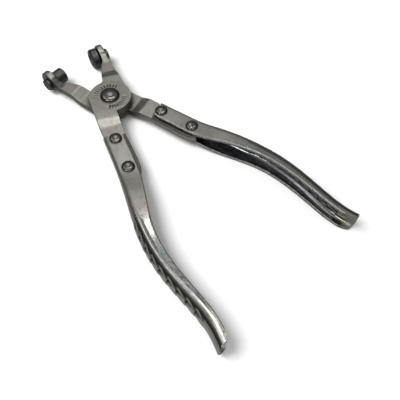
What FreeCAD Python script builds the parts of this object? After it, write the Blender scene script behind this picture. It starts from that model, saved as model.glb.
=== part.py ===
import FreeCAD, Part
import math
import os
from FreeCAD import Vector, Placement, Rotation

# Riveted pressed-steel pliers with swivelling jaw inserts.  Millimetres.
# The pivot axis is the Z axis, z = 0 is the plane the tool rests on, +Y runs to the jaws.
# Both levers are drawn once, as the upper one, about the middle plane of the tool:
# its jaw is on +X and its handle on -X.  The lower lever is the same thing turned over.

# driving dimensions
PLATE = 4.0            # arm plate
SHEET = 1.6            # handle shell sheet
GRIP_HEIGHT = 13.5     # height of the handle channel along the grip
END_HEIGHT = 13.5      # height of the channel at the flared end
HUB_R = 12.1           # round hub of each arm
HUB_GAP = 0.2          # air between the two hubs
PRESS = 0.02           # air between plate and sheet

MID_Z = GRIP_HEIGHT / 2.0 + 0.15
HUB_MID = PLATE / 2.0 + HUB_GAP / 2.0

# jaws
TAB_MID = (17.9, 37.0)              # middle of the upright jaw tab
PIN_MID = (17.9, 36.4)              # point on the insert's axis, inside the tab
PIN_DROP = 0.75                     # both insert axes lie this far below the middle plane
PIN_TILT = 10.0                     # how far the insert's axis leans from straight across
TAB_R = 6.0
TAB_HALF = PLATE / 2.0
SHANK_R = 1.9
RUN = 0.05                          # running clearance on a radius
INSERT_GAP = 0.35                   # air between insert and tab
COLLAR_GAP = 0.15                   # air between collar and tab
COLLAR_T = 1.9
COLLAR_R = 3.6
LARGE_INSERT = (6.0, 5.2, 3.9, 1.2)     # radius, length past the tab, recess radius, recess depth
SMALL_INSERT = (4.4, 7.2, 2.6, 1.2)

# rivets
PIVOT_SHANK_R = 4.0
PIVOT_HEAD_R = 5.6
RIVET_SHANK_R = 2.0
RIVET_HEAD_R = 3.55
RIVET_HEAD_H = 1.9
RIVETS = [Vector(-15.6, -27.9, 0), Vector(-21.4, -47.5, 0)]

# handle path of the upper lever: x, y, channel width, channel height, corner radius
FLAT_HEIGHT = PLATE + 2 * (SHEET + PRESS)
PATH = [
    (-14.0, -20.6, 10.9, FLAT_HEIGHT, 2.3),
    (-16.8, -30.0, 10.9, FLAT_HEIGHT, 2.3),
    (-19.84, -40.0, 10.9, FLAT_HEIGHT, 2.3),
    (-23.1, -50.0, 11.1, FLAT_HEIGHT, 2.4),
    (-27.1, -60.0, 10.6, 0.5 * (FLAT_HEIGHT + GRIP_HEIGHT), 3.0),
    (-31.7, -70.0, 9.5, GRIP_HEIGHT - 0.6, 3.8),
    (-35.9, -80.0, 8.4, GRIP_HEIGHT, 4.4),
    (-39.0, -90.0, 7.7, GRIP_HEIGHT, 4.6),
    (-40.75, -100.0, 7.3, GRIP_HEIGHT, 4.6),
    (-41.45, -110.0, 6.9, GRIP_HEIGHT, 4.6),
    (-41.5, -120.0, 6.5, GRIP_HEIGHT, 4.6),
    (-41.6, -130.0, 6.2, GRIP_HEIGHT + 0.2, 4.6),
    (-42.5, -138.0, 6.0, END_HEIGHT - 0.2, 4.4),
    (-45.2, -148.0, 6.0, END_HEIGHT, 4.2),
]

UP = Vector(0, 0, 1)


def axis_cylinder(radius, start, end, centre, axis):
    """Cylinder about an axis, from one distance along it to another."""
    base = centre + axis * start
    return Part.makeCylinder(radius, end - start, base, axis)


def revolved(profile, centre, axis):
    """Solid turned about an axis; the profile lists (distance along, radius) pairs."""
    side = UP.cross(axis)
    if side.Length < 0.01:
        side = Vector(1, 0, 0)
    side.normalize()
    points = [centre + axis * a + side * r for a, r in profile]
    face = Part.Face(Part.makePolygon(points + [points[0]]))
    return face.revolve(centre, axis, 360)


def dome_head(radius, height, rim, base, direction):
    """Round rivet head: a short straight rim with a shallow dome on it."""
    dome = height - rim
    sphere_r = (radius * radius + dome * dome) / (2.0 * dome)
    ball_centre = base + direction * (height - sphere_r)
    ball = Part.makeSphere(sphere_r, ball_centre)
    post = Part.makeCylinder(radius, height + 1.0, base, direction)
    return post.common(ball)


def plan_prism(points, z_low, z_high):
    """Upright prism over a closed outline; a point with a third value is rounded off."""
    flat = [Vector(p[0], p[1], z_low) for p in points]
    edges = []
    starts = []
    ends = []
    count = len(flat)
    for i in range(count):
        radius = points[i][2] if len(points[i]) > 2 else 0.0
        here = flat[i]
        to_last = (flat[i - 1] - here).normalize()
        to_next = (flat[(i + 1) % count] - here).normalize()
        if radius > 0:
            half = to_last.getAngle(to_next) / 2.0
            reach = radius / math.tan(half)
            first = here + to_last * reach
            last = here + to_next * reach
            middle_dir = (to_last + to_next).normalize()
            middle = here + middle_dir * (radius / math.sin(half) - radius)
            starts.append(first)
            ends.append(last)
            edges.append(Part.Arc(first, middle, last).toShape())
        else:
            starts.append(here)
            ends.append(here)
            edges.append(None)
    wire_edges = []
    for i in range(count):
        if edges[i] is not None:
            wire_edges.append(edges[i])
        nxt = (i + 1) % count
        if (starts[nxt] - ends[i]).Length > 1e-6:
            wire_edges.append(Part.makeLine(ends[i], starts[nxt]))
    wire = Part.Wire(Part.__sortEdges__(wire_edges))
    return Part.Face(wire).extrude(Vector(0, 0, z_high - z_low))


# ---- arm -------------------------------------------------------------------

ARM_ANGLE = 21.0        # the arm's bends lie square to this direction, from +Y toward +X
JAW_BEND = (15.9, 21.6)
HANDLE_BEND = (-15.4, -20.4)


def arm_profile():
    """Cranked side view of the plate, drawn along the arm and pulled out sideways."""
    along = Vector(math.sin(math.radians(ARM_ANGLE)), math.cos(math.radians(ARM_ANGLE)), 0)
    across = along.cross(UP)
    drop = HUB_MID
    half = PLATE / 2.0

    def corner_shift(run):
        return half * math.tan(math.atan2(drop, run) / 2.0)

    jaw = corner_shift(JAW_BEND[1] - JAW_BEND[0])
    handle = corner_shift(HANDLE_BEND[0] - HANDLE_BEND[1])
    top = [(-80, half), (HANDLE_BEND[1] - handle, half), (HANDLE_BEND[0] - handle, drop + half),
           (JAW_BEND[0] + jaw, drop + half), (JAW_BEND[1] + jaw, half), (60, half)]
    bottom = [(60, -half), (JAW_BEND[1] - jaw, -half), (JAW_BEND[0] - jaw, drop - half),
              (HANDLE_BEND[0] + handle, drop - half), (HANDLE_BEND[1] + handle, -half), (-80, -half)]
    points = [along * s + UP * z - across * 45 for s, z in top + bottom]
    face = Part.Face(Part.makePolygon(points + [points[0]]))
    solid = face.extrude(across * 90)
    # round the bends
    bends = []
    for edge in solid.Edges:
        direction = (edge.Vertexes[-1].Point - edge.Vertexes[0].Point).normalize()
        if abs(direction.dot(across)) > 0.99 and abs(edge.CenterOfMass.dot(along)) < 40:
            bends.append(edge)
    return solid.makeFillet(5.0, bends)


ARM_OUTLINE = [
    (-3.4, -11.2),
    (-5.4, -17.6, 6.0),
    (-8.5, -26.0, 8.0),
    (-13.6, -44.4, 20.0),
    (-15.7, -50.6, 2.0),
    (-18.6, -54.1, 0.8),
    (-26.3, -51.4, 0.8),
    (-18.7, -26.6),
    (-17.9, -23.2, 1.2),
    (-19.1, -21.4, 1.0),
    (-16.7, -12.4, 12.0),
    (-14.4, -5.6, 9.0),
    (-11.9, 2.2),
    (-4.0, 11.3),
    (3.6, 12.4, 3.6),
    (6.3, 18.4, 6.0),
    (9.6, 24.0, 10.0),
    (14.5, 30.2),
    (15.2, 33.0),
    (19.2, 32.4),
    (18.6, 28.6, 4.0),
    (16.2, 19.4, 14.0),
    (14.1, 10.6, 14.0),
    (11.9, 2.0),
    (11.4, -3.8),
]


def pin_axis():
    """Unit vector from the upper jaw's tab toward the other jaw."""
    t = math.radians(PIN_TILT)
    return Vector(-math.cos(t), math.sin(t), 0)


def pin_point(lower):
    """Point on the insert's axis, drawn for the upper lever or for the turned-over one."""
    return Vector(PIN_MID[0], PIN_MID[1], PIN_DROP if lower else -PIN_DROP)


def section_wire(centre, along, side, half_side, low, high, radius):
    """Rounded rectangle square to a direction."""
    corners = [(-half_side, low), (half_side, low), (half_side, high), (-half_side, high)]
    points = [centre + side * a + UP * b for a, b in corners]
    edges = []
    marks = []
    for i in range(4):
        here = points[i]
        to_last = (points[i - 1] - here).normalize()
        to_next = (points[(i + 1) % 4] - here).normalize()
        first = here + to_last * radius
        last = here + to_next * radius
        middle = here + (to_last + to_next) * (radius * (1.0 - math.sqrt(0.5)))
        marks.append((first, last))
        edges.append(Part.Arc(first, middle, last).toShape())
    wire = []
    for i in range(4):
        wire.append(edges[i])
        wire.append(Part.makeLine(marks[i][1], marks[(i + 1) % 4][0]))
    return Part.Wire(wire)


def jaw_tab():
    """Upright round tab at the jaw end, with the neck that turns flat plate into it."""
    axis = pin_axis()
    tab_mid = Vector(TAB_MID[0], TAB_MID[1], 0)
    tab = axis_cylinder(TAB_R, -TAB_HALF, TAB_HALF, tab_mid, axis)
    rims = []
    for edge in tab.Edges:
        if edge.Length > 2 * math.pi * TAB_R - 0.1:
            rims.append(edge)
    tab = tab.makeFillet(0.9, rims)
    outward = UP.cross(axis)
    if outward.y < 0:
        outward = outward * -1
    start = Vector(15.6, 26.6, 0)
    wires = [
        section_wire(start, outward, axis, 2.9, -1.99, 1.99, 0.5),
        section_wire(tab_mid - outward * 6.4, outward, axis, 2.05, -3.0, 3.0, 0.7),
        section_wire(tab_mid - outward * 3.2, outward, axis, 1.98, -4.7, 4.7, 0.8),
    ]
    neck = Part.makeLoft(wires, True, False)
    return tab.fuse(neck)


def make_arm(hub_hole_r, lower):
    """Arm of the upper lever about the middle plane of the tool."""
    outline = plan_prism(ARM_OUTLINE, -8, 8)
    blank = outline.fuse(Part.makeCylinder(HUB_R, 16, Vector(0, 0, -8)))
    arm = blank.common(arm_profile())
    arm = arm.fuse(jaw_tab()).removeSplitter()
    arm = arm.cut(Part.makeCylinder(hub_hole_r, 20, Vector(0, 0, -10)))
    for spot in RIVETS:
        arm = arm.cut(Part.makeCylinder(RIVET_SHANK_R + PRESS, 20, spot - UP * 10))
    arm = arm.cut(axis_cylinder(SHANK_R + RUN, -5, 5, pin_point(lower), pin_axis()))
    return arm


# ---- handle shell ----------------------------------------------------------

def path_frames():
    """Point, direction, outward side and sizes at each station of the handle path."""
    points = [Vector(p[0], p[1], 0) for p in PATH]
    curve = Part.BSplineCurve()
    curve.interpolate(points)
    frames = []
    for point, row in zip(points, PATH):
        direction = curve.tangent(curve.parameter(point))[0]
        outward = UP.cross(direction) * -1
        if outward.x > 0:
            outward = outward * -1
        frames.append((point, direction, outward, row[2], row[3], row[4]))
    return frames


def channel_wire(point, outward, width, height, radius, inset, open_side):
    """Section of the handle channel: round corners at the web, square toward the other handle."""
    out = width / 2.0 - inset
    back = -width / 2.0 - open_side
    top = height / 2.0 - inset
    r = max(radius - inset, 0.5)
    k = r * (1.0 - math.sqrt(0.5))

    def at(a, z):
        return point + outward * a + UP * z

    edges = [
        Part.makeLine(at(back, top), at(out - r, top)),
        Part.Arc(at(out - r, top), at(out - k, top - k), at(out, top - r)).toShape(),
        Part.makeLine(at(out, top - r), at(out, -top + r)),
        Part.Arc(at(out, -top + r), at(out - k, -top + k), at(out - r, -top)).toShape(),
        Part.makeLine(at(out - r, -top), at(back, -top)),
        Part.makeLine(at(back, -top), at(back, top)),
    ]
    return Part.Wire(edges)


UPPER_END = -147.2      # where the web of each handle stops, along Y
LOWER_END = -143.8


def shell_trim(end):
    """Plan outline that cuts the channel: slanted near end, rounded corners at the far end."""
    return [
        (-8.6, -27.9, 2.2),
        (-20.4, -21.6, 0.6),
        (-40.0, -30.0),
        (-64.0, -110.0),
        (-52.0, end - 0.4, 1.0),
        (-39.6, end + 1.4, 3.6),
        (-34.5, -118.0),
        (-26.0, -73.0),
        (-14.0, -52.0),
    ]


def make_shell(end):
    """Pressed handle shell of the upper lever about the middle plane."""
    outside = []
    inside = []
    for point, direction, outward, width, height, radius in path_frames():
        outside.append(channel_wire(point, outward, width, height, radius, 0.0, 0.0))
        inside.append(channel_wire(point, outward, width, height, radius, SHEET, 3.0))
    shell = Part.makeLoft(outside, True, False).cut(Part.makeLoft(inside, True, False))
    shell = shell.common(plan_prism(shell_trim(end), -12, 12))
    for spot in RIVETS:
        shell = shell.cut(Part.makeCylinder(RIVET_SHANK_R + PRESS, 20, spot - UP * 10))
    return shell


# ---- rivets and inserts ----------------------------------------------------

def handle_rivet(spot):
    """Domed rivet through both flanges and the plate."""
    seat = FLAT_HEIGHT / 2.0 + 0.01
    shank = Part.makeCylinder(RIVET_SHANK_R, 2 * seat, spot - UP * seat)
    top = dome_head(RIVET_HEAD_R, RIVET_HEAD_H, 0.35, spot + UP * seat, UP)
    bottom = dome_head(RIVET_HEAD_R, RIVET_HEAD_H, 0.35, spot - UP * seat, UP * -1)
    return shank.fuse([top, bottom]).removeSplitter()


def pivot_rivet():
    """Large pivot rivet; its lower head lies on the resting plane."""
    seat = HUB_MID + PLATE / 2.0
    height = MID_Z - seat - 0.1
    shank = Part.makeCylinder(PIVOT_SHANK_R, 2 * seat + 0.1, Vector(0, 0, -seat - 0.02))
    top = dome_head(PIVOT_HEAD_R, height, 0.6, Vector(0, 0, seat + 0.08), UP)
    bottom = dome_head(PIVOT_HEAD_R, height + 0.3, 0.6, Vector(0, 0, -seat - 0.02), UP * -1)
    flat = Part.makeBox(40, 40, 20, Vector(-20, -20, -MID_Z))
    return shank.fuse([top, bottom]).removeSplitter().common(flat)


def jaw_insert(size, lower):
    """Swivelling insert: round face with a shallow recess, chamfered rim, and a shank through the tab."""
    radius, length, recess_r, recess_depth = size
    back = TAB_HALF + INSERT_GAP
    front = TAB_HALF + length
    chamfer = 0.12 * radius
    collar_end = TAB_HALF + COLLAR_GAP + COLLAR_T
    profile = [
        (-collar_end - 0.35, 0.0),
        (-collar_end - 0.35, SHANK_R - 0.5),
        (-collar_end, SHANK_R),
        (back, SHANK_R),
        (back, radius - chamfer),
        (back + chamfer, radius),
        (front - chamfer, radius),
        (front, radius - chamfer),
        (front, recess_r),
        (front - recess_depth, recess_r - 0.5),
        (front - recess_depth, 0.0),
    ]
    return revolved(profile, pin_point(lower), pin_axis())


def retaining_collar(lower):
    """Collar fixed on the end of the insert's shank, behind the tab."""
    near = -TAB_HALF - COLLAR_GAP
    far = near - COLLAR_T
    profile = [
        (near, SHANK_R + PRESS),
        (near, COLLAR_R),
        (far + 0.5, COLLAR_R),
        (far, COLLAR_R - 0.5),
        (far, SHANK_R + PRESS),
    ]
    return revolved(profile, pin_point(lower), pin_axis())


# ---- placing ---------------------------------------------------------------

TURN_OVER = Placement(Vector(0, 0, 0), Rotation(Vector(0, 1, 0), 180))
LIFT = Vector(0, 0, MID_Z)


def place(shape, lower):
    """Put a part made as the upper lever's into the tool, turned over for the lower lever."""
    result = shape.copy()
    if lower:
        result.Placement = TURN_OVER.multiply(result.Placement)
    result.translate(LIFT)
    return result


def export(name, shape):
    if shape.ShapeType == "Compound" and len(shape.Solids) == 1:
        shape = shape.Solids[0]
    if not shape.isValid():
        raise ValueError(name + " is not a valid shape")
    shape.exportStep("parts/" + name + ".step")
    box = shape.BoundBox
    print("%-22s solids %d  volume %8.1f  x %.1f..%.1f y %.1f..%.1f z %.2f..%.2f" % (
        name, len(shape.Solids), shape.Volume,
        box.XMin, box.XMax, box.YMin, box.YMax, box.ZMin, box.ZMax))


os.makedirs("parts", exist_ok=True)

export("lower_arm", place(make_arm(PIVOT_SHANK_R + PRESS, True), True))
export("upper_arm", place(make_arm(PIVOT_SHANK_R + RUN, False), False))
export("pivot_rivet", place(pivot_rivet(), False))
export("lower_handle_shell", place(make_shell(LOWER_END), True))
export("upper_handle_shell", place(make_shell(UPPER_END), False))
for level, lower in (("lower", True), ("upper", False)):
    for order, spot in zip(("front", "rear"), RIVETS):
        export(level + "_" + order + "_rivet", place(handle_rivet(spot), lower))
export("upper_jaw_insert", place(jaw_insert(LARGE_INSERT, False), False))
export("lower_jaw_insert", place(jaw_insert(SMALL_INSERT, True), True))
export("upper_insert_collar", place(retaining_collar(False), False))
export("lower_insert_collar", place(retaining_collar(True), True))
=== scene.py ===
import math

import bmesh
import bpy
import numpy as np
from mathutils import Matrix, Vector


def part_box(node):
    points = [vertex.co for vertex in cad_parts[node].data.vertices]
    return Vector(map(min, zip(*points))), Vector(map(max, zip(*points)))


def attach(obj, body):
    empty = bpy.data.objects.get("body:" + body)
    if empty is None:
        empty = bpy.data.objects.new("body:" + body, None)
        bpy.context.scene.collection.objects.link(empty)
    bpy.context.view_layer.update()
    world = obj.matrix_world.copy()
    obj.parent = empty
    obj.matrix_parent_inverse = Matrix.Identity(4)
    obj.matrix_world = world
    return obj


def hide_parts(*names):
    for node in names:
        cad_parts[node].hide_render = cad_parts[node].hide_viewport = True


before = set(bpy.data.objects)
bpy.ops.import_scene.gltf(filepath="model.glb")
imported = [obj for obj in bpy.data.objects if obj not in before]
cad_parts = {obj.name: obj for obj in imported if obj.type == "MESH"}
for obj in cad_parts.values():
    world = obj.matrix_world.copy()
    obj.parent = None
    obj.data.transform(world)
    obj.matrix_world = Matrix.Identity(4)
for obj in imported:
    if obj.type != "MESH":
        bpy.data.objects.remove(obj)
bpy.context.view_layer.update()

MM = 0.001

# ---- sizes, in millimetres --------------------------------------------------

PLATE = 4.0
SHEET = 1.6
GRIP_HEIGHT = 13.5
FLAT_HEIGHT = PLATE + 2 * SHEET + 0.04
MID_Z = (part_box("upper_handle_shell")[0].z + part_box("upper_handle_shell")[1].z) / 2 / MM

# handle path of the upper lever: x, y, channel width, channel height, corner radius
PATH = np.array([
    (-14.0, -20.6, 10.9, FLAT_HEIGHT, 2.3),
    (-16.8, -30.0, 10.9, FLAT_HEIGHT, 2.3),
    (-19.84, -40.0, 10.9, FLAT_HEIGHT, 2.3),
    (-23.1, -50.0, 11.1, FLAT_HEIGHT, 2.4),
    (-27.1, -60.0, 10.6, 0.5 * (FLAT_HEIGHT + GRIP_HEIGHT), 3.0),
    (-31.7, -70.0, 9.5, GRIP_HEIGHT - 0.6, 3.8),
    (-35.9, -80.0, 8.4, GRIP_HEIGHT, 4.4),
    (-39.0, -90.0, 7.7, GRIP_HEIGHT, 4.6),
    (-40.75, -100.0, 7.3, GRIP_HEIGHT, 4.6),
    (-41.45, -110.0, 6.9, GRIP_HEIGHT, 4.6),
    (-41.5, -120.0, 6.5, GRIP_HEIGHT, 4.6),
    (-41.6, -130.0, 6.2, GRIP_HEIGHT + 0.2, 4.6),
    (-42.5, -138.0, 6.0, GRIP_HEIGHT - 0.2, 4.4),
    (-45.2, -148.0, 6.0, GRIP_HEIGHT, 4.2),
])
NEAR_END = ((-8.6, -27.9), (-20.4, -21.6))    # cut across the channel beside the hub
NEAR_CORNER = 2.2
FAR_CORNER = 3.6
FAR_SLANT = ((-39.6, 1.4), (-52.0, -0.4))     # far cut: x, and y past the end line
UPPER_END = -147.2
LOWER_END = -143.8

# grip notches pressed into the corners of the web
NOTCH_FIRST = 61.0         # along the path
NOTCH_PITCH = 6.35
NOTCH_COUNT = 9
NOTCH_DEPTH = 1.2
NOTCH_LOW = 0.4            # how close the notch comes to the middle of the web
NOTCH_HIGH = 4.6
NOTCH_FADE = 0.8           # share of the depth lost over one notch
INNER_NOTCH = 0.6          # depth of the notches on the inside, against the outside
GROOVE_DEPTH = 0.17        # fine groove along the step of each notch
BAND_RISE = 0.28           # the web between the notches stands this proud
BAND_HALF = 5.2            # half width of that raised band
BAND_EDGE = 1.6

# rounding of the sheet's free edges and cut ends
EDGE_ROUND = 0.6
END_ROUND = 0.5

# bars punched round the pivot: inner and outer radius, half width, depth
BAR_INNER = 7.4
BAR_OUTER = 9.3
BAR_HALF = 0.25
BAR_DEPTH = 0.34
BAR_ARCS = ((150, -12, 11), (-124, 10, 9))    # first angle, step, count
HUB_FLAT_RADIUS = 11.5
HUB_GAP = 0.1                                 # each plate stands this far off the middle plane
HUB_TOP = MID_Z + HUB_GAP + PLATE

# painted shadow on the lower arm's plate at its jaw, and painted shade with dirt round the hub under
# the upper arm
LOWER_NECK = (-16.6, 29.9, MID_Z + 1.8)
NECK_SHADOW = (5.4, 2.4)                        # outer radius and width of the fade
SEAT_SHADE_AND_DIRT = (15.6, 3.6)


# ---- small tools ------------------------------------------------------------

def cubic_spline(x, y):
    """Natural cubic spline through points, as a function of an array."""
    n = len(x)
    h = np.diff(x)
    a = np.zeros((n, n))
    b = np.zeros(n)
    a[0, 0] = a[-1, -1] = 1.0
    for i in range(1, n - 1):
        a[i, i - 1], a[i, i], a[i, i + 1] = h[i - 1], 2 * (h[i - 1] + h[i]), h[i]
        b[i] = 6 * ((y[i + 1] - y[i]) / h[i] - (y[i] - y[i - 1]) / h[i - 1])
    m = np.linalg.solve(a, b)

    def at(t):
        i = np.clip(np.searchsorted(x, t) - 1, 0, n - 2)
        u, v = x[i + 1] - t, t - x[i]
        return (m[i] * u ** 3 + m[i + 1] * v ** 3) / (6 * h[i]) \
            + (y[i] / h[i] - m[i] * h[i] / 6) * u + (y[i + 1] / h[i] - m[i + 1] * h[i] / 6) * v

    return at


def smooth(t):
    """Smooth step from 0 to 1."""
    t = np.clip(t, 0.0, 1.0)
    return t * t * (3 - 2 * t)


def new_piece(name, verts, faces, body, nodes, material):
    """Mesh object in metres from points in millimetres, riding on a body for its CAD node."""
    mesh = bpy.data.meshes.new(name)
    mesh.from_pydata((np.asarray(verts) * MM).tolist(), [], faces)
    mesh.update()
    return finish_piece(mesh, name, body, nodes, material)


def finish_piece(mesh, name, body, nodes, material):
    """Smooth-shaded object of the mesh, with its material, riding on a body for its CAD node."""
    mesh.polygons.foreach_set("use_smooth", [True] * len(mesh.polygons))
    mesh.materials.clear()
    mesh.materials.append(material)
    piece = bpy.data.objects.new(name, mesh)
    bpy.context.scene.collection.objects.link(piece)
    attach(piece, body)
    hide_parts(*nodes)
    return piece


def softened(node, voxel, passes):
    """Copy of a CAD node's mesh, remeshed finely and smoothed, so that its edges are rounded."""
    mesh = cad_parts[node].data.copy()
    work = bpy.data.objects.new("work_" + node, mesh)
    bpy.context.scene.collection.objects.link(work)
    remesh = work.modifiers.new("remesh", "REMESH")
    remesh.mode = "VOXEL"
    remesh.voxel_size = voxel * MM
    relax = work.modifiers.new("relax", "SMOOTH")
    relax.factor = 0.5
    relax.iterations = passes
    evaluated = work.evaluated_get(bpy.context.evaluated_depsgraph_get())
    result = bpy.data.meshes.new_from_object(evaluated)
    bpy.data.objects.remove(work)
    return result


def store_shade_and_dirt(mesh, amounts):
    """Store how dirty each point is and how much painted shade it takes, for the materials."""
    layer = mesh.attributes.new("shade_and_dirt", "FLOAT", "POINT")
    layer.data.foreach_set("value", np.asarray(amounts, dtype=np.float32).ravel())


def mesh_points(mesh):
    """The mesh's points in millimetres."""
    points = np.zeros(len(mesh.vertices) * 3)
    mesh.vertices.foreach_get("co", points)
    return points.reshape(-1, 3) / MM


def set_mesh_points(mesh, points):
    """Move the mesh's points to places in millimetres."""
    mesh.vertices.foreach_set("co", (points * MM).ravel())
    mesh.update()


def face_outward(mesh, weld=0.0):
    """Make every face look outward, after joining points closer than weld, in metres."""
    bm = bmesh.new()
    bm.from_mesh(mesh)
    if weld > 0:
        bmesh.ops.remove_doubles(bm, verts=bm.verts, dist=weld)
    bmesh.ops.recalc_face_normals(bm, faces=bm.faces)
    bm.to_mesh(mesh)
    bm.free()


# ---- materials --------------------------------------------------------------

class Nodes:
    """Short way to write a node tree."""

    def __init__(self, tree):
        self.tree = tree

    def add(self, kind, inputs=None, **settings):
        """New node; each input is a link from another node or a plain value."""
        node = self.tree.nodes.new(kind)
        for key, value in settings.items():
            setattr(node, key, value)
        for key, value in (inputs or {}).items():
            if isinstance(value, bpy.types.NodeSocket):
                self.tree.links.new(value, node.inputs[key])
            else:
                node.inputs[key].default_value = value
        return node

    def noise(self, vector, scale, detail=3.0, rough=0.5, distortion=0.0):
        """Noise at so many waves to the metre."""
        return self.add("ShaderNodeTexNoise", {
            "Vector": vector, "Scale": scale, "Detail": detail,
            "Roughness": rough, "Distortion": distortion}).outputs["Fac"]

    def ramp(self, value, low, high, out_low=0.0, out_high=1.0):
        """Value taken from one range to another, held at the ends."""
        node = self.add("ShaderNodeMapRange", {
            "Value": value, "From Min": low, "From Max": high,
            "To Min": out_low, "To Max": out_high}, clamp=True)
        return node.outputs["Result"]

    def zone(self, value, limits, out_low=0.0, out_high=1.0):
        """The same for a place in metres and limits in millimetres."""
        return self.ramp(value, limits[0] * MM, limits[1] * MM, out_low, out_high)

    def mix(self, factor, a, b):
        """Blend of two colours."""
        node = self.add("ShaderNodeMix", data_type="RGBA")
        for index, value in ((0, factor), (6, a), (7, b)):
            if isinstance(value, bpy.types.NodeSocket):
                self.tree.links.new(value, node.inputs[index])
            elif index == 0:
                node.inputs[0].default_value = value
            else:
                node.inputs[index].default_value = (*value, 1.0)
        return node.outputs[2]

    def math(self, operation, a, b=None):
        inputs = {0: a}
        if b is not None:
            inputs[1] = b
        return self.add("ShaderNodeMath", inputs, operation=operation).outputs[0]


# near-black colour of dirt and of painted shade
SHADE_AND_DIRT_COLOUR = (0.035, 0.035, 0.035)
# colour of the painted shade on the plates' upright sides
SIDE_SHADE = (0.11, 0.10, 0.085)
HEAT_TINT = (0.22, 0.20, 0.09)
# paler colour the channel's inside takes toward its open end
PALE_END = (0.44, 0.43, 0.40)
RUST = (0.13, 0.07, 0.04)
SPANGLE = (0.225, 0.245, 0.25)
SCRATCH = 0.25             # depth of the scratches against the grain


# where wear, tint, paling, polish and the painted shade on the plates' upright sides set in and where
# they are full, in millimetres: from the pivot, then along Y
HUB_DULL = (15.5, 12.5)
SIDE_SHADE_ALONG = (-20, -12)
TINT_ON, TINT_OFF = (-126, -134), (-141, -136)
PALE_ALONG = (-135, -138)
SPANGLE_ON, SPANGLE_OFF = (-86, -93), (-134, -118)
HUB_WANDER, TIP_WANDER, POLISH_WANDER = 0.004, 0.006, 0.004    # how ragged the borders are, metres


def dimmed(colour, share):
    """Darker version of a colour."""
    return tuple(share * c for c in colour)


def worn_colour(n, place, cloud, blotch, worn, base, dark, bright):
    """Base steel with clouds, speckle, blotches and pits, pale worn edges, darker hollows, and the
    stored dirt and painted shade.
    """
    colour = n.mix(n.ramp(cloud, 0.35, 0.68), base, dimmed(base, 0.86))
    speckle = n.ramp(n.noise(place, 1900.0, 2.0, 0.7), 0.40, 0.66, 0.0, 0.55)
    colour = n.mix(speckle, colour, dimmed(base, 0.62))
    colour = n.mix(n.ramp(blotch, 0.56, 0.74, 0.0, 0.35), colour, dark)
    pits = n.ramp(n.noise(place, 1500.0, 2.0, 0.5, 0.3), 0.60, 0.72, 0.0, 0.35)
    colour = n.mix(pits, colour, dark)
    colour = n.mix(n.math("MULTIPLY", worn, 0.75), colour, bright)
    pointed = n.add("ShaderNodeNewGeometry").outputs["Pointiness"]
    hollow = n.ramp(pointed, 0.49, 0.44)
    colour = n.mix(n.math("MULTIPLY", hollow, 0.8), colour, dark)
    # dirt and painted shade stored on the points: painted shade in the notch grooves, under the
    # handles' near edges, round the lower hub and on the lower jaw's neck, with dirt and the
    # dark-filled bars on the hub
    painted_shade_and_dirt = n.add("ShaderNodeAttribute", attribute_name="shade_and_dirt").outputs["Fac"]
    return n.mix(n.math("MULTIPLY", painted_shade_and_dirt, 0.85), colour, SHADE_AND_DIRT_COLOUR)


def upward(n):
    """How far the surface looks up."""
    normal = n.add("ShaderNodeNewGeometry").outputs["Normal"]
    return n.add("ShaderNodeSeparateXYZ", {"Vector": normal}).outputs["Z"]


def plate_colour(n, colour, base, parts, cloud):
    """A duller hub, and painted shade on the plates' upright sides near the hub and jaws."""
    flat = n.add("ShaderNodeCombineXYZ", {"X": parts["X"], "Y": parts["Y"], "Z": 0.0}).outputs[0]
    reach = n.add("ShaderNodeVectorMath", {0: flat, 1: (0.0, 0.0, 0.0)},
                  operation="DISTANCE").outputs["Value"]
    reach = n.math("ADD", reach, n.math("MULTIPLY", cloud, HUB_WANDER))
    colour = n.mix(n.zone(reach, HUB_DULL, 0.0, 0.35), colour, dimmed(base, 0.45))
    # painted shade: upright sides near the hub and jaws are made darker
    facing = n.math("ABSOLUTE", upward(n))
    side_shade = n.math("MULTIPLY", n.ramp(facing, 0.80, 0.40, 0.0, 0.7),
                     n.zone(parts["Y"], SIDE_SHADE_ALONG))
    return n.mix(side_shade, colour, SIDE_SHADE)


def tip_colour(n, colour, parts, blotch):
    """Paler toward the open end, after a heat-tinted band; gives how far it has paled as well."""
    end = n.math("ADD", parts["Y"], n.math("MULTIPLY", blotch, TIP_WANDER))
    tint = n.math("MULTIPLY", n.zone(end, TINT_ON), n.zone(end, TINT_OFF))
    colour = n.mix(n.math("MULTIPLY", tint, 0.5), colour, HEAT_TINT)
    pale_share = n.zone(end, PALE_ALONG)
    return n.mix(n.math("MULTIPLY", pale_share, 0.8), colour, PALE_END), pale_share


def surface_relief(n, place, fine, grain):
    """Fine grain, rolling lines and a few cross scratches."""
    along = n.add("ShaderNodeMapping", {
        "Vector": place, "Rotation": (0.0, 0.0, 0.42), "Scale": (1.0, 0.06, 1.0)}).outputs[0]
    lines = n.noise(along, 5200.0, 2.0, 0.7)
    across = n.add("ShaderNodeMapping", {
        "Vector": place, "Rotation": (0.0, 0.0, -0.9), "Scale": (1.0, 0.03, 1.0)}).outputs[0]
    scratches = n.ramp(n.noise(across, 1500.0, 1.0, 0.4), 0.70, 0.76)
    coarse = n.noise(place, 1500.0, 3.0, 0.65)
    relief = n.math("ADD", n.math("MULTIPLY", lines, 0.5), n.math("ADD", fine, coarse))
    relief = n.math("MULTIPLY", relief, grain)
    return n.math("SUBTRACT", relief, n.math("MULTIPLY", scratches, SCRATCH * grain))


def spangle_patch(n, place, parts):
    """Where the polished handle's top is crinkled, and the ripples there."""
    patch = n.math("MULTIPLY", n.zone(parts["Y"], SPANGLE_ON), n.zone(parts["Y"], SPANGLE_OFF))
    patch = n.math("MULTIPLY", patch, n.ramp(upward(n), 0.90, 0.99))
    return patch, n.noise(place, 620.0, 3.0, 0.65, 1.2)


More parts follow.
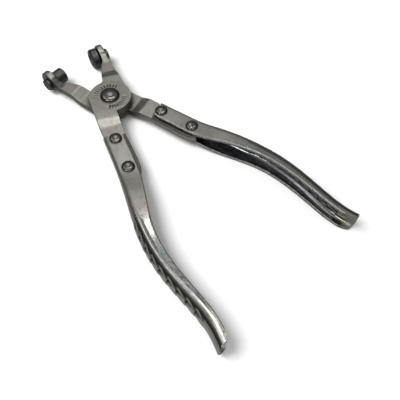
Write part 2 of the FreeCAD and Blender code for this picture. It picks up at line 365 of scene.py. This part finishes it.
def metal(name, base, dark, bright, rough, polish=None, spangle=0.0, grain=0.05, rust=0.0,
          edge=(0.50, 0.56), plate=False, tip=False):
    """Worn metal.  base, dark and bright are the colours of the flat, of grime and of worn edges.
    rough is the range of roughness, grain and spangle are depths of relief, rust is a share, and
    edge is the range of pointiness over which an edge is worn.  polish holds the two places along
    Y, in millimetres, between which it turns polished, and the roughness there.  plate and tip
    add what is special to the arm plates and to the channels' insides."""
    material = bpy.data.materials.new(name)
    material.use_nodes = True
    material.node_tree.nodes.clear()
    n = Nodes(material.node_tree)
    place = n.add("ShaderNodeTexCoord").outputs["Object"]
    parts = n.add("ShaderNodeSeparateXYZ", {"Vector": place}).outputs
    cloud = n.noise(place, 90.0, 4.0, 0.6)
    blotch = n.noise(place, 420.0, 3.0, 0.6, 0.4)
    fine = n.noise(place, 3200.0, 2.0, 0.6)
    worn = n.ramp(n.add("ShaderNodeNewGeometry").outputs["Pointiness"], *edge)

    colour = worn_colour(n, place, cloud, blotch, worn, base, dark, bright)
    if plate:
        colour = plate_colour(n, colour, base, parts, cloud)
    mottle = n.math("ADD", n.math("MULTIPLY", blotch, 0.6), n.math("MULTIPLY", fine, 0.4))
    roughness = n.ramp(mottle, 0.3, 0.7, *rough)
    roughness = n.math("SUBTRACT", roughness, n.math("MULTIPLY", worn, 0.12))
    if tip:
        colour, pale_share = tip_colour(n, colour, parts, blotch)
        roughness = n.add("ShaderNodeMix", {0: pale_share, 2: roughness, 3: 0.45}).outputs[0]
    if rust > 0:
        spots = n.ramp(n.noise(place, 330.0, 4.0, 0.75, 0.8), 0.60, 0.70, 0.0, rust)
        colour = n.mix(spots, colour, RUST)

    relief = surface_relief(n, place, fine, grain)
    if polish:
        start, stop, polished = polish
        ragged = n.math("MULTIPLY", n.math("SUBTRACT", blotch, 0.5), POLISH_WANDER)
        shine = n.zone(n.math("ADD", parts["Y"], ragged), (start, stop))
        roughness = n.add("ShaderNodeMix", {0: shine, 2: roughness, 3: polished}).outputs[0]
        relief = n.math("MULTIPLY", relief, n.ramp(shine, 0.0, 1.0, 1.0, 0.3))
    if spangle > 0:
        patch, ripples = spangle_patch(n, place, parts)
        ripples = n.math("MULTIPLY", n.math("MULTIPLY", ripples, spangle), patch)
        relief = n.math("ADD", relief, ripples)
        colour = n.mix(n.math("MULTIPLY", patch, 0.75), colour, SPANGLE)
    bump = n.add("ShaderNodeBump", {"Height": relief, "Distance": 0.6 * MM, "Strength": 0.6})
    shader = n.add("ShaderNodeBsdfPrincipled", {
        "Base Color": colour, "Metallic": 1.0, "Roughness": roughness,
        "Normal": bump.outputs["Normal"]})
    n.add("ShaderNodeOutputMaterial", {"Surface": shader.outputs["BSDF"]})
    return material


ARM_METAL = metal("arm_steel", (0.44, 0.427, 0.38), (0.13, 0.12, 0.10), (0.60, 0.58, 0.52),
                  (0.30, 0.46), grain=0.10, plate=True)
UPPER_SHELL_METAL = metal("upper_handle_steel", (0.44, 0.43, 0.395), (0.15, 0.14, 0.12),
                          (0.60, 0.58, 0.53), (0.28, 0.40), polish=(-73.0, -81.0, 0.13),
                          spangle=0.35, grain=0.16)
LOWER_SHELL_METAL = metal("lower_handle_steel", (0.36, 0.355, 0.335), (0.11, 0.10, 0.08),
                          (0.58, 0.56, 0.50), (0.28, 0.42), polish=(-80.0, -84.0, 0.22),
                          grain=0.08, rust=0.35)
INSIDE_METAL = metal("channel_inside", (0.34, 0.35, 0.365), (0.04, 0.035, 0.028),
                     (0.40, 0.38, 0.34), (0.09, 0.17), grain=0.05, rust=0.8, tip=True)
EDGE_METAL = metal("sheet_edge", (0.33, 0.325, 0.30), (0.08, 0.075, 0.06),
                   (0.46, 0.45, 0.41), (0.24, 0.42), grain=0.30)
RIVET_METAL = metal("rivet_steel", (0.17, 0.165, 0.15), (0.06, 0.05, 0.035), (0.42, 0.40, 0.36),
                    (0.14, 0.26), rust=0.4, grain=0.04)
INSERT_METAL = metal("insert_steel", (0.135, 0.145, 0.13), (0.04, 0.04, 0.035),
                     (0.30, 0.30, 0.27), (0.30, 0.46), grain=0.14, edge=(0.53, 0.62))
COLLAR_METAL = metal("collar_steel", (0.13, 0.135, 0.13), (0.035, 0.035, 0.03),
                     (0.30, 0.29, 0.27), (0.28, 0.44), grain=0.10, edge=(0.53, 0.62))


# ---- handle shells ----------------------------------------------------------

FLANGE_STEPS = 14
CORNER_STEPS = 26
WEB_STEPS = 17
EDGE_STEPS = np.linspace(0.0, 1.0, 9)
ROWS = 560
END_STEPS = np.array([0.0, 0.06, 0.14, 0.26, 0.40, 0.55])    # closer rows at each cut end
END_LENGTH = 0.75


def skin_columns():
    """Columns of one skin of the section: which stretch each is on, and where along it."""
    skin = []
    skin += [("flange", 1, t) for t in np.linspace(0.0, 1.0, FLANGE_STEPS)[:-1]]
    skin += [("corner", 1, t) for t in np.linspace(0.0, 1.0, CORNER_STEPS)[:-1]]
    skin += [("web", 1, t) for t in np.linspace(0.0, 1.0, WEB_STEPS)[:-1]]
    skin += [("corner", -1, t) for t in np.linspace(1.0, 0.0, CORNER_STEPS)[:-1]]
    skin += [("flange", -1, t) for t in np.linspace(1.0, 0.0, FLANGE_STEPS)]
    return skin


def skin_point(kind, side, t, width, height, radius, inset):
    """Place across and up of one column on a skin set in from the channel's outside."""
    out = width / 2 - inset
    top = height / 2 - inset
    r = np.maximum(radius - inset, 0.5)
    back = -width / 2 + EDGE_ROUND
    if kind == "flange":
        return back + (out - r - back) * t, side * top, np.full_like(out, 0.0)
    if kind == "corner":
        turn = math.radians(90) * (1 - t)
        return out - r + r * math.cos(turn), side * (top - r + r * math.sin(turn)), \
            side * (top - r + r * turn)
    level = (top - r) * (1 - 2 * t)
    return out, level, level


def notch_cut(s, v):
    """At s along the path and v up the section's surface: how far the web is pressed in, whether
    this is in the notched stretch, and how much of the fine groove is here."""
    k = (s - NOTCH_FIRST) / NOTCH_PITCH
    share = k - np.floor(k)
    inside = smooth((k + 0.03) / 0.05) * smooth((NOTCH_COUNT - k) / 0.05)
    lower = NOTCH_LOW + (NOTCH_HIGH - NOTCH_LOW) * share
    above = smooth((np.abs(v) - lower) / 0.35)
    wall = smooth(share * NOTCH_PITCH / 0.35)
    depth = NOTCH_DEPTH * (1 - NOTCH_FADE * share) * above * wall * inside
    step = 1 - smooth(np.abs(np.abs(v) - lower - 0.1) / 0.30)
    step = step * smooth((NOTCH_HIGH + 0.3 - np.abs(v)) / 0.5)
    start = 1 - smooth(np.minimum(share, 1 - share) * NOTCH_PITCH / 0.32)
    start = start * smooth((np.abs(v) - NOTCH_LOW + 0.2) / 0.4) * smooth((5.4 - np.abs(v)) / 0.5)
    return depth, inside, np.maximum(step, start) * inside


def rounded_corner(radius, edge):
    """How far a corner of that radius sets a cut end back, at a distance from the free edge."""
    if edge >= radius:
        return 0.0
    return radius - math.sqrt(max(0.0, radius ** 2 - (radius - edge) ** 2))


class Channel:
    """One handle: the path it follows, its section along it, and the two cuts that end it."""

    def __init__(self, end, lower):
        steps = np.hypot(*np.diff(PATH[:, :2], axis=0).T)
        knots = np.concatenate([[0.0], np.cumsum(steps)])
        curves = [cubic_spline(knots, PATH[:, k]) for k in range(5)]
        self.lower = lower
        self.fine = np.linspace(knots[0], knots[-1], 1500)
        self.x, self.y, self.width, self.height, self.radius = [c(self.fine) for c in curves]
        dx, dy = np.gradient(self.x, self.fine), np.gradient(self.y, self.fine)
        length = np.hypot(dx, dy)
        self.ox, self.oy = dy / length, -dx / length
        if self.ox.mean() > 0:                   # outward side of the upper handle is -X
            self.ox, self.oy = -self.ox, -self.oy
        self.near = np.array(NEAR_END)
        self.far = np.array([(x, end + past) for x, past in FAR_SLANT])

    def past_cut(self, cut, across):
        """How far each place along the path, that far across, lies to one side of a cut."""
        a, b = cut
        way = (b - a) / np.linalg.norm(b - a)
        px, py = self.x + self.ox * across, self.y + self.oy * across
        return (px - a[0]) * way[1] - (py - a[1]) * way[0]

    def start_at(self, across):
        """Where the line at that place across the channel starts along the path."""
        near = self.past_cut(self.near, across)
        near = near if near[-1] > 0 else -near
        start = self.fine[np.argmax(near > 0)]
        edge = across + np.interp(start, self.fine, self.width) / 2
        return start + rounded_corner(NEAR_CORNER, edge)

    def stop_at(self, across):
        """Where that line stops."""
        far = self.past_cut(self.far, across)
        far = far if far[0] > 0 else -far
        stop = self.fine[len(self.fine) - 1 - np.argmax(far[::-1] > 0)]
        edge = across + np.interp(stop, self.fine, self.width) / 2
        return stop - rounded_corner(FAR_CORNER, edge)

    def rows(self, across):
        """Rows of one column, with the rounding of the sheet's cut ends at each row."""
        middle = self.width[len(self.fine) // 2]
        share = (across + middle / 2) / middle
        near_width, far_width = self.width[20], self.width[-20]
        start = self.start_at(-near_width / 2 + share * near_width)
        stop = self.stop_at(-far_width / 2 + share * far_width)
        s = np.concatenate([start + END_STEPS,
                            np.linspace(start + END_LENGTH, stop - END_LENGTH, ROWS),
                            stop - END_STEPS[::-1]])
        from_end = np.minimum(np.minimum(s - start, stop - s), END_ROUND)
        cut_off = np.maximum(END_ROUND ** 2 - (END_ROUND - from_end) ** 2, 0.0)
        return s, END_ROUND - np.sqrt(cut_off)

    def section(self, s):
        """Width, height and corner radius along the path."""
        return [np.interp(s, self.fine, q) for q in (self.width, self.height, self.radius)]

    def place(self, s, a, z):
        """Points in the frame from along, across and up."""
        px = np.interp(s, self.fine, self.x) + np.interp(s, self.fine, self.ox) * a
        py = np.interp(s, self.fine, self.y) + np.interp(s, self.fine, self.oy) * a
        if self.lower:
            return np.stack([-px, py, MID_Z - z], -1)
        return np.stack([px, py, MID_Z + z], -1)


def edge_column(channel, side, t):
    """One column of a free edge, which is half round from one skin to the other."""
    s, shrink = channel.rows(-channel.width[len(channel.fine) // 2] / 2)
    w, h, _ = channel.section(s)
    angle = math.radians(180) * t
    half = SHEET / 2 - shrink
    a = -w / 2 + EDGE_ROUND - (EDGE_ROUND - shrink * 0.5) * math.sin(angle)
    z = side * (h / 2 - SHEET / 2 + half * math.cos(angle))
    return channel.place(s, a, z), np.zeros(len(s))


def skin_column(channel, inner, kind, side, t):
    """One column of the outer or inner skin, with its notches; gives the painted shade along their
    grooves too.
    """
    inset = SHEET if inner else 0.0
    whole = (channel.width, channel.height, channel.radius)
    across = skin_point(kind, side, t, *whole, inset)[0][len(channel.fine) // 2]
    s, shrink = channel.rows(float(across))
    w, h, r = channel.section(s)
    inset = SHEET - shrink if inner else shrink
    a, z, v = skin_point(kind, side, t, w, h, r, inset)
    cut, inside, groove = notch_cut(s, v)
    if inner:
        cut, groove = INNER_NOTCH * cut, np.zeros(len(s))
    rise = BAND_RISE * inside * smooth((BAND_HALF - np.abs(v)) / BAND_EDGE)
    a = np.where(cut > 0.001, np.minimum(a + rise, w / 2 - inset + rise - cut), a + rise)
    return channel.place(s, a - GROOVE_DEPTH * groove, z), groove


def shell_faces(count, n_col, n_row):
    """Faces of the closed section swept along its rows, with the lists of those on the channel's
    inside and on its free edges.  count is the number of columns of one skin."""
    faces, hidden, rims = [], [], []
    first_inner = count + len(EDGE_STEPS) - 2
    for i in range(n_col):
        j = (i + 1) % n_col
        for k in range(n_row - 1):
            if first_inner <= i and first_inner < j < first_inner + count:
                hidden.append(len(faces))
            elif count - 1 <= i < first_inner or i >= first_inner + count - 1:
                rims.append(len(faces))
            faces.append((i * n_row + k, i * n_row + k + 1, j * n_row + k + 1, j * n_row + k))
    # the two cut ends, from the outer skin to the inner skin
    for k in (0, n_row - 1):
        for i in range(count - 1):
            across = first_inner + count - 1 - i
            faces.append(tuple(q * n_row + k for q in (i, i + 1, across - 1, across)))
        faces.append(tuple(q * n_row + k for q in range(count - 1, first_inner + 1)))
        faces.append(tuple(q * n_row + k for q in [*range(first_inner + count - 1, n_col), 0]))
    return faces, hidden, rims


def build_shell(name, node, end, lower, body, material):
    """Channel-section handle: outer skin, lower edge, inner skin and upper edge, closed all round."""
    channel = Channel(end, lower)
    skin = skin_columns()
    inner_steps = EDGE_STEPS[1:-1]
    columns = [skin_column(channel, False, *c) for c in skin]
    columns += [edge_column(channel, -1, t) for t in inner_steps]
    columns += [skin_column(channel, True, *c) for c in reversed(skin)]
    columns += [edge_column(channel, 1, t) for t in inner_steps[::-1]]
    grid = np.array([points for points, painted_shade_and_dirt in columns])       # columns x rows x 3
    faces, hidden, rims = shell_faces(len(skin), *grid.shape[:2])
    piece = new_piece(name, grid.reshape(-1, 3), faces, body, [node], material)
    # painted shade along the steps of the notches
    store_shade_and_dirt(piece.data, [painted_shade_and_dirt for points, painted_shade_and_dirt in columns])
    for index, extra, chosen in ((1, INSIDE_METAL, hidden), (2, EDGE_METAL, rims)):
        piece.data.materials.append(extra)
        for face in chosen:
            piece.data.polygons[face].material_index = index
    face_outward(piece.data)


build_shell("upper_handle", "upper_handle_shell", UPPER_END, False, "upper_lever",
            UPPER_SHELL_METAL)
build_shell("lower_handle", "lower_handle_shell", LOWER_END, True, "lower_lever",
            LOWER_SHELL_METAL)


# ---- arms and inserts -------------------------------------------------------

ARM_VOXEL = 0.20
INSERT_VOXEL = 0.11
COLLAR_VOXEL = 0.10


def punched_bars():
    """Two even arcs of short bars, above and below the pivot rivet: each bar's two ends."""
    for first, step, count in BAR_ARCS:
        for k in range(count):
            angle = math.radians(first + step * k)
            ray = np.array([math.cos(angle), math.sin(angle)])
            yield BAR_INNER * ray, BAR_OUTER * ray


def stamp(points):
    """Press the bars into the flat top of the hub; gives how dirty each point is."""
    reach = np.hypot(points[:, 0], points[:, 1])
    near = (np.abs(points[:, 2] - HUB_TOP) < 0.35) & (reach < HUB_FLAT_RADIUS)
    flat = points[near][:, :2]
    sunk = np.zeros(len(flat))
    for a, b in punched_bars():
        d = b - a
        t = np.clip(((flat - a) @ d) / (d @ d), 0, 1)
        gap = np.linalg.norm(flat - (a + t[:, None] * d), axis=1)
        sunk = np.maximum(sunk, BAR_DEPTH * smooth((BAR_HALF + 0.16 - gap) / 0.26))
    points[near, 2] -= sunk
    marks = np.zeros(len(points))
    marks[near] = smooth(sunk / BAR_DEPTH / 0.8)
    return marks


def arm_shade_and_dirt(points, level):
    """Dirt and painted shade where the arm goes under its handle's edge, and on the lower arm painted
    shade with dirt round the hub and a painted shadow on the jaw neck.
    """
    a, b = np.array(NEAR_END)
    side = np.array([b[1] - a[1], a[0] - b[0]]) / np.linalg.norm(b - a)
    if side[1] > 0:
        side = -side                               # points along the handle, away from the hub
    flat = points[:, :2] * (-1 if level == "lower" else 1, 1)
    # dirt and painted shade on the plate under and just before the handle's near edge
    past = smooth(((flat - a) @ side + 0.9) / 0.7)
    face = smooth((np.abs(points[:, 2] - MID_Z) - 0.9) / 0.8)
    dirt = 0.95 * past * face
    if level == "lower":
        # painted shade with dirt on the lower arm round the hub, where the upper hub overhangs it
        reach = np.hypot(points[:, 0], points[:, 1])
        above = smooth((points[:, 2] - (MID_Z - 2.2)) / 0.5)
        dirt = np.maximum(dirt, 0.8 * above * smooth((SEAT_SHADE_AND_DIRT[0] - reach) / SEAT_SHADE_AND_DIRT[1]))
        # painted shadow of the tab and insert on the lower jaw's neck
        gap = np.linalg.norm(points - np.array(LOWER_NECK), axis=1)
        dirt = np.maximum(dirt, 0.95 * smooth((NECK_SHADOW[0] - gap) / NECK_SHADOW[1]))
    return dirt


for level in ("lower", "upper"):
    arm = softened(level + "_arm", ARM_VOXEL, 4)
    points = mesh_points(arm)
    # dirt and painted shade on the plate, with the dark-filled bars on the upper hub
    shade_and_dirt = arm_shade_and_dirt(points, level)
    if level == "upper":
        shade_and_dirt = np.maximum(shade_and_dirt, stamp(points))
        set_mesh_points(arm, points)
    store_shade_and_dirt(arm, shade_and_dirt)
    finish_piece(arm, level + "_arm_plate", level + "_lever", [level + "_arm"],
                 ARM_METAL)
    insert = softened(level + "_jaw_insert", INSERT_VOXEL, 5)
    finish_piece(insert, level + "_insert", level + "_insert", [level + "_jaw_insert"],
                 INSERT_METAL)
    collar = softened(level + "_insert_collar", COLLAR_VOXEL, 4)
    finish_piece(collar, level + "_collar", level + "_insert", [level + "_insert_collar"],
                 COLLAR_METAL)


# ---- rivets -----------------------------------------------------------------

HEAD_STEPS = 22
RIVET_AROUND = 72
RIM_LIFT = 0.10            # the dome starts this far above the seat
SHANK_SHARE = 0.6          # shank radius over head radius
WELD = 0.01                # points closer than this are joined at the poles
PIVOT_SEAT = MID_Z + 4.18
HANDLE_SEAT = MID_Z + FLAT_HEIGHT / 2 + 0.01


def head_profile(radius, height):
    """Radius and rise of a domed head, from under its rounded rim to its pole."""
    profile = [(radius - 0.25, -0.02), (radius - 0.08, 0.03)]
    for i in range(HEAD_STEPS + 1):
        turn = math.radians(90) * i / HEAD_STEPS
        out = radius * math.cos(turn) ** 0.92 if i < HEAD_STEPS else 0.0
        rise = height * math.sin(turn) ** 0.85
        profile.append((out, RIM_LIFT + rise * (height - RIM_LIFT) / height))
    return profile


def rivet(node, body, seat):
    """Rivet turned from its own box: two domed heads with rounded rims and a shank.
    seat is the height of the surface under its upper head."""
    low, high = (np.array(corner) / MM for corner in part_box(node))
    centre = (low + high) / 2
    radius = (high[0] - low[0]) / 2
    bottom, top = low[2], high[2]
    height = top - seat
    head = head_profile(radius, height)
    shank = radius * SHANK_SHARE
    profile = [(a, top - height + b) for a, b in reversed(head)]
    profile += [(shank, top - height), (shank, bottom + height)]
    profile += [(a, bottom + height - b) for a, b in head]
    verts, faces = [], []
    for a, z in profile:
        for k in range(RIVET_AROUND):
            t = 2 * math.pi * k / RIVET_AROUND
            verts.append((centre[0] + a * math.cos(t), centre[1] + a * math.sin(t), z))
    for i in range(len(profile) - 1):
        here, after = i * RIVET_AROUND, (i + 1) * RIVET_AROUND
        for k in range(RIVET_AROUND):
            j = (k + 1) % RIVET_AROUND
            faces.append((here + k, after + k, after + j, here + j))
    piece = new_piece(node + "_turned", verts, faces, body, [node], RIVET_METAL)
    face_outward(piece.data, WELD * MM)


rivet("pivot_rivet", "lower_lever", PIVOT_SEAT)
for level in ("lower", "upper"):
    for order in ("front", "rear"):
        rivet(level + "_" + order + "_rivet", level + "_lever", HANDLE_SEAT)


# ---- floor, lights, camera --------------------------------------------------

FLOOR_HALF = 3.0
MIDDLE = (0.0, -0.055, 0.0)      # middle of the tool on the floor, in metres


def floor_paper():
    """White to the camera and dull to other rays, fading far off into an even white."""
    paper = bpy.data.materials.new("paper")
    paper.use_nodes = True
    paper.node_tree.nodes.clear()
    n = Nodes(paper.node_tree)
    spread = n.add("ShaderNodeVectorMath", {
        0: n.add("ShaderNodeTexCoord").outputs["Object"], 1: MIDDLE},
        operation="DISTANCE").outputs["Value"]
    mirrored = n.mix(n.ramp(spread, 0.09, 0.17), (0.36, 0.36, 0.355), (0.05, 0.055, 0.062))
    white = n.add("ShaderNodeBsdfDiffuse", {"Color": (0.96, 0.96, 0.96, 1)})
    grey = n.add("ShaderNodeBsdfDiffuse", {"Color": mirrored})
    seen = n.add("ShaderNodeLightPath").outputs["Is Camera Ray"]
    pick = n.add("ShaderNodeMixShader", {0: seen, 1: grey.outputs[0], 2: white.outputs[0]})
    far = n.add("ShaderNodeEmission", {"Color": (0.95, 0.95, 0.95, 1), "Strength": 1.0})
    fade = n.math("MULTIPLY", n.ramp(spread, 0.18, 0.50), seen)
    backdrop = n.add("ShaderNodeMixShader", {0: fade, 1: pick.outputs[0], 2: far.outputs[0]})
    n.add("ShaderNodeOutputMaterial", {"Surface": backdrop.outputs[0]})
    return paper


corners = [(x * FLOOR_HALF, y * FLOOR_HALF, 0) for x, y in ((-1, -1), (1, -1), (1, 1), (-1, 1))]
floor_mesh = bpy.data.meshes.new("floor")
floor_mesh.from_pydata(corners, [], [(0, 1, 2, 3)])
floor_mesh.materials.append(floor_paper())
floor = bpy.data.objects.new("floor", floor_mesh)
bpy.context.scene.collection.objects.link(floor)


LIGHT_DISTANCE = 1.0       # of the two broad lights, in metres
PANEL_DISTANCE = 0.75      # of the panels that only show as reflections


def placed(x, y, z, spot):
    """Matrix of an object with those three axes at that place."""
    return Matrix((
        (x.x, y.x, z.x, spot.x),
        (x.y, y.y, z.y, spot.y),
        (x.z, y.z, z.z, spot.z),
        (0, 0, 0, 1)))


def area_light(name, direction, distance, size, power, target=(0.0, -0.055, 0.005),
               glossy=True, diffuse=True, along=None, width=None):
    """Round light, or a strip of the given width whose length lies along a direction."""
    light = bpy.data.lights.new(name, "AREA")
    light.shape = "RECTANGLE" if along else "DISK"
    light.size = size
    if along:
        light.size_y = width
    light.energy = power
    holder = bpy.data.objects.new(name, light)
    bpy.context.scene.collection.objects.link(holder)
    way = Vector(direction).normalized()
    first = Vector(along) if along else Vector((1, 0.2, 0))
    first = (first - way * first.dot(way)).normalized()
    second = way.cross(first)
    spot = Vector(target) + way * distance
    holder.matrix_world = placed(first, second, way, spot)
    holder.visible_glossy = glossy
    holder.visible_diffuse = diffuse


area_light("key", (-0.42, 0.30, 0.855), LIGHT_DISTANCE, 0.62, 9.0, glossy=False)
area_light("fill", (-0.30, -0.66, 0.70), LIGHT_DISTANCE, 1.30, 1.2)
area_light("front_panel", (-0.32, -0.67, 0.66), PANEL_DISTANCE, 0.14, 0.18, diffuse=False)
area_light("side_strip", (-0.42, 0.46, 0.78), PANEL_DISTANCE, 0.44, 0.34, diffuse=False,
           along=(-0.175, -0.387, 0.164), width=0.09)
area_light("tip_panel", (-0.13, 0.26, 0.957), PANEL_DISTANCE, 0.21, 0.33, diffuse=False,
           target=(-0.042, -0.130, 0.013), along=(1.0, 0.0, 0.13), width=0.15)
area_light("crank_panel", (0.0, 0.0, 1.0), PANEL_DISTANCE, 0.16, 0.50, diffuse=False)
area_light("inner_strip", (-0.56, -0.125, 0.425), 0.71, 0.23, 0.65, diffuse=False,
           along=(0.0, 1.0, 0.0), width=0.11)
area_light("top_panel", (0.25, 0.56, 0.79), PANEL_DISTANCE, 0.20, 0.22, diffuse=False)
area_light("rear_panel", (0.30, -0.11, 0.944), PANEL_DISTANCE, 0.20, 0.5, diffuse=False)
area_light("spot_panel", (0.23, 0.44, 0.868), PANEL_DISTANCE, 0.07, 0.10, diffuse=False,
           target=(-0.036, -0.082, 0.0135))

SKY_LEVELS = ((0.22, 0.036), (0.5, 0.10), (0.70, 0.34), (0.83, 0.48), (0.93, 0.24))


def studio_world():
    """Even white to the camera, a plain dome to diffuse rays, and graded sky in the mirrors."""
    world = bpy.data.worlds.new("studio")
    world.use_nodes = True
    world.node_tree.nodes.clear()
    n = Nodes(world.node_tree)
    way = n.add("ShaderNodeTexCoord").outputs["Generated"]
    up = n.add("ShaderNodeSeparateXYZ", {"Vector": way}).outputs["Z"]
    graded = n.add("ShaderNodeValToRGB", {"Fac": up})
    elements = graded.color_ramp.elements
    elements[0].position, elements[0].color = 0.0, (0.03, 0.032, 0.036, 1)
    elements[1].position, elements[1].color = 1.0, (0.15, 0.15, 0.15, 1)
    for position, level in SKY_LEVELS:
        elements.new(position).color = (level, level, level * 0.99, 1)
    toward = n.add("ShaderNodeVectorMath", {0: way, 1: (0.35, 0.93, 0.05)},
                   operation="DOT_PRODUCT").outputs["Value"]
    glow = n.mix(n.ramp(toward, 0.55, 0.98), (0.0, 0.0, 0.0), (0.13, 0.13, 0.125))
    seen = n.add("ShaderNodeBackground", {"Color": (0.95, 0.95, 0.95, 1), "Strength": 1.0})
    base = n.add("ShaderNodeBackground", {"Color": graded.outputs["Color"], "Strength": 1.0})
    extra = n.add("ShaderNodeBackground", {"Color": glow, "Strength": 1.0})
    mirrored = n.add("ShaderNodeAddShader", {0: base.outputs[0], 1: extra.outputs[0]})
    dome = n.add("ShaderNodeBackground", {"Color": (0.48, 0.48, 0.48, 1), "Strength": 1.0})
    rays = n.add("ShaderNodeLightPath").outputs
    lit = n.add("ShaderNodeMixShader", {
        0: rays["Is Diffuse Ray"], 1: mirrored.outputs[0], 2: dome.outputs[0]})
    pick = n.add("ShaderNodeMixShader", {
        0: rays["Is Camera Ray"], 1: lit.outputs[0], 2: seen.outputs[0]})
    n.add("ShaderNodeOutputWorld", {"Surface": pick.outputs[0]})
    return world


bpy.context.scene.world = studio_world()

scene = bpy.context.scene
scene.view_settings.view_transform = "Standard"
scene.view_settings.look = "None"

AZIMUTH, ELEVATION, ROLL = -0.71778, 1.00911, 0.01059    # radians
TARGET = Vector((-4.96, -85.16, MID_Z)) * MM
DISTANCE = 225.56 * MM
FOCAL_SHARE = 1.1251             # focal length over the frame's width
SENSOR = 36.0

side = Vector((math.cos(AZIMUTH), math.sin(AZIMUTH), 0))
back = Vector((math.sin(AZIMUTH) * math.cos(ELEVATION),
               -math.cos(AZIMUTH) * math.cos(ELEVATION), math.sin(ELEVATION)))
over = back.cross(side)
cam_x = side * math.cos(ROLL) + over * math.sin(ROLL)
cam_y = over * math.cos(ROLL) - side * math.sin(ROLL)
camera_data = bpy.data.cameras.new("camera")
camera_data.sensor_width = SENSOR
camera_data.lens = SENSOR * FOCAL_SHARE
camera_data.clip_start = 0.01
camera_data.clip_end = 20.0
camera = bpy.data.objects.new("camera", camera_data)
scene.collection.objects.link(camera)
camera.matrix_world = placed(cam_x, cam_y, back, TARGET + back * DISTANCE)
scene.camera = camera
